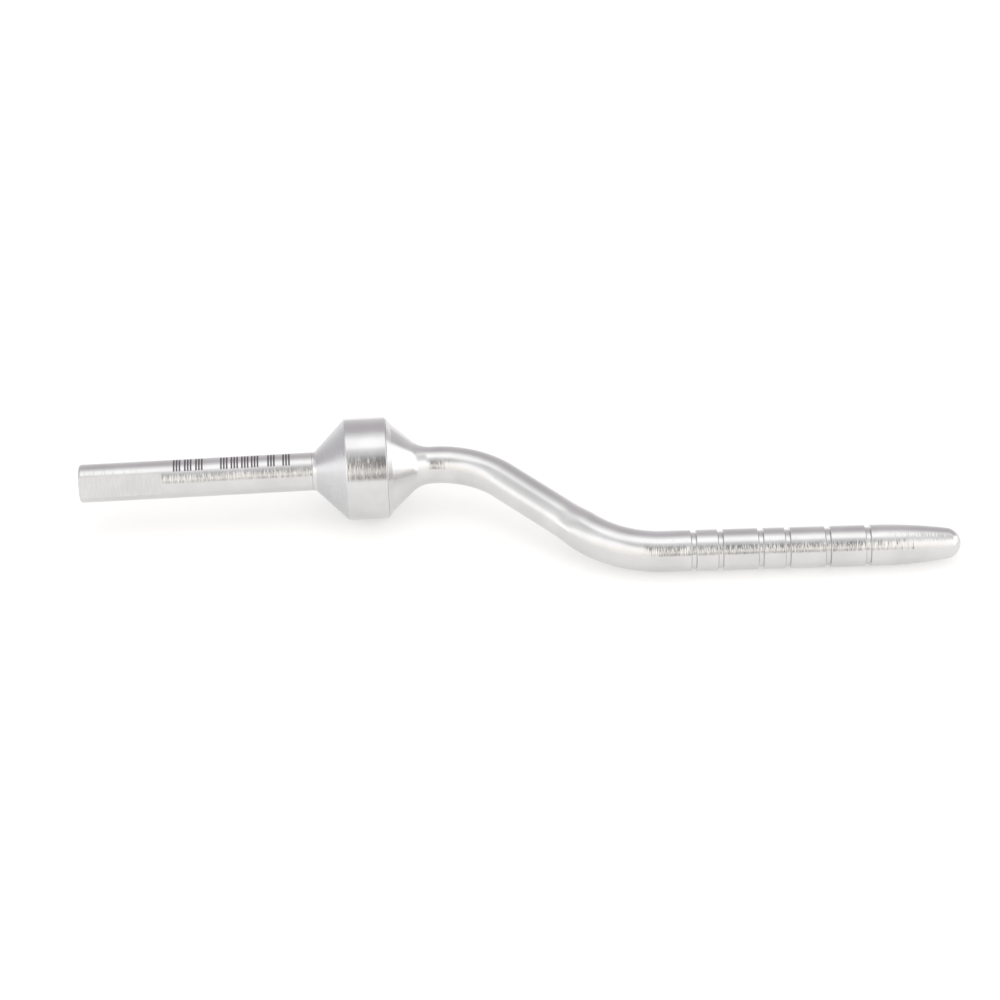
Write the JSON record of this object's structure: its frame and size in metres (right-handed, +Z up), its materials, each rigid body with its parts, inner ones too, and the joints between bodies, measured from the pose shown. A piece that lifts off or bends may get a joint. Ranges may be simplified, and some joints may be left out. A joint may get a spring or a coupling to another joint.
{
  "type": "offset osteotome insert",
  "caption": "Round shank with a side flat, a double-cone stop collar, an S-bend neck and a straight grooved working end with a domed nose.",
  "frame": {"origin": "on the shank's centre line, where the shank meets the stop collar", "axes": "-X along the shank to its handle end, +X towards the working end, -Y the side the bends step to, +Z up as the insert lies on a table on its collar and working end"},
  "size_m": [0.0661, 0.0163, 0.0078],
  "materials": {
    "shank_steel": "fine turned satin, with dark laser lines on top",
    "collar_steel": "band brushed round its circumference, rear cone bead-blasted matt",
    "shaft_steel": "polished flare and neck, fine turned working end"
  },
  "bodies": {
    "root": {"handle_shank": "shank_steel", "stop_collar": "collar_steel", "bent_shaft": "shaft_steel"}
  },
  "joints": []
}
